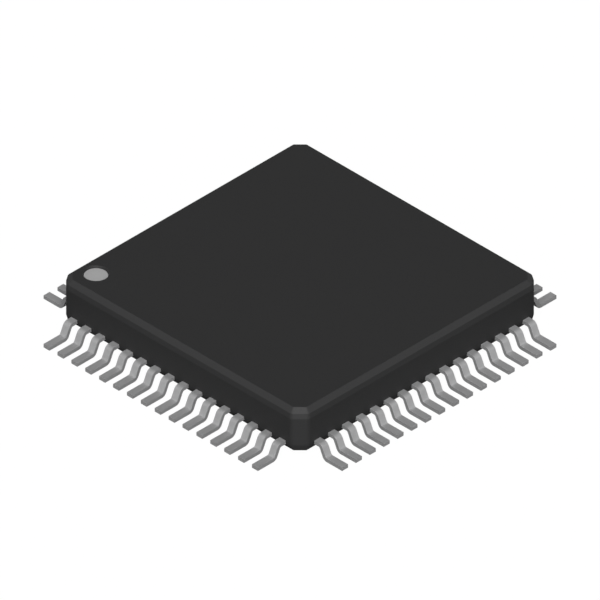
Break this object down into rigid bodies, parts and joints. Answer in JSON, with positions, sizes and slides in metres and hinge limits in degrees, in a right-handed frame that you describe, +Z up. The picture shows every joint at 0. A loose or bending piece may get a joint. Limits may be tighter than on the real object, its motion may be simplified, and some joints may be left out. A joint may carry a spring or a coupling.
{
  "type": "integrated circuit",
  "caption": "Integrated circuit in a square quad flat package: a dark moulded body with gull-wing leads on all four sides and a round pin 1 mark, with its die, paddle and bond wires inside.",
  "frame": {"origin": "middle of the seating plane, under the centre of the body", "axes": "+Z up, +X and +Y square to the sides. Pin 1 is the lead of the -X side nearest to +Y, and the pins count anticlockwise seen from above."},
  "size_m": [0.0172, 0.0172, 0.0024],
  "materials": {
    "moulding_compound": "dark grey filled epoxy with an even fine matt grain",
    "plated_lead": "matt tin plating on copper alloy strip",
    "leadframe_copper": "bare rolled copper alloy strip",
    "die_adhesive": "cured silver-filled epoxy",
    "silicon": "polished silicon with a passivated face",
    "gold_wire": "bright drawn gold",
    "mark_ink": "flat light grey marking ink"
  },
  "bodies": {
    "root": {"bond_wires_01_04": "gold_wire", "bond_wires_05_08": "gold_wire", "bond_wires_09_12": "gold_wire", "bond_wires_13_16": "gold_wire", "bond_wires_17_20": "gold_wire", "bond_wires_21_24": "gold_wire", "bond_wires_25_28": "gold_wire", "bond_wires_29_32": "gold_wire", "bond_wires_33_36": "gold_wire", "bond_wires_37_40": "gold_wire", "bond_wires_41_44": "gold_wire", "bond_wires_45_48": "gold_wire", "bond_wires_49_52": "gold_wire", "bond_wires_53_56": "gold_wire", "bond_wires_57_60": "gold_wire", "bond_wires_61_64": "gold_wire", "die_attach": "die_adhesive", "die_paddle": "leadframe_copper", "leads_01_04": "plated_lead", "leads_05_08": "plated_lead", "leads_09_12": "plated_lead", "leads_13_16": "plated_lead", "leads_17_20": "plated_lead", "leads_21_24": "plated_lead", "leads_25_28": "plated_lead", "leads_29_32": "plated_lead", "leads_33_36": "plated_lead", "leads_37_40": "plated_lead", "leads_41_44": "plated_lead", "leads_45_48": "plated_lead", "leads_49_52": "plated_lead", "leads_53_56": "plated_lead", "leads_57_60": "plated_lead", "leads_61_64": "plated_lead", "moulded_body": "moulding_compound", "pin_one_mark": "mark_ink", "silicon_die": "silicon"}
  },
  "joints": []
}
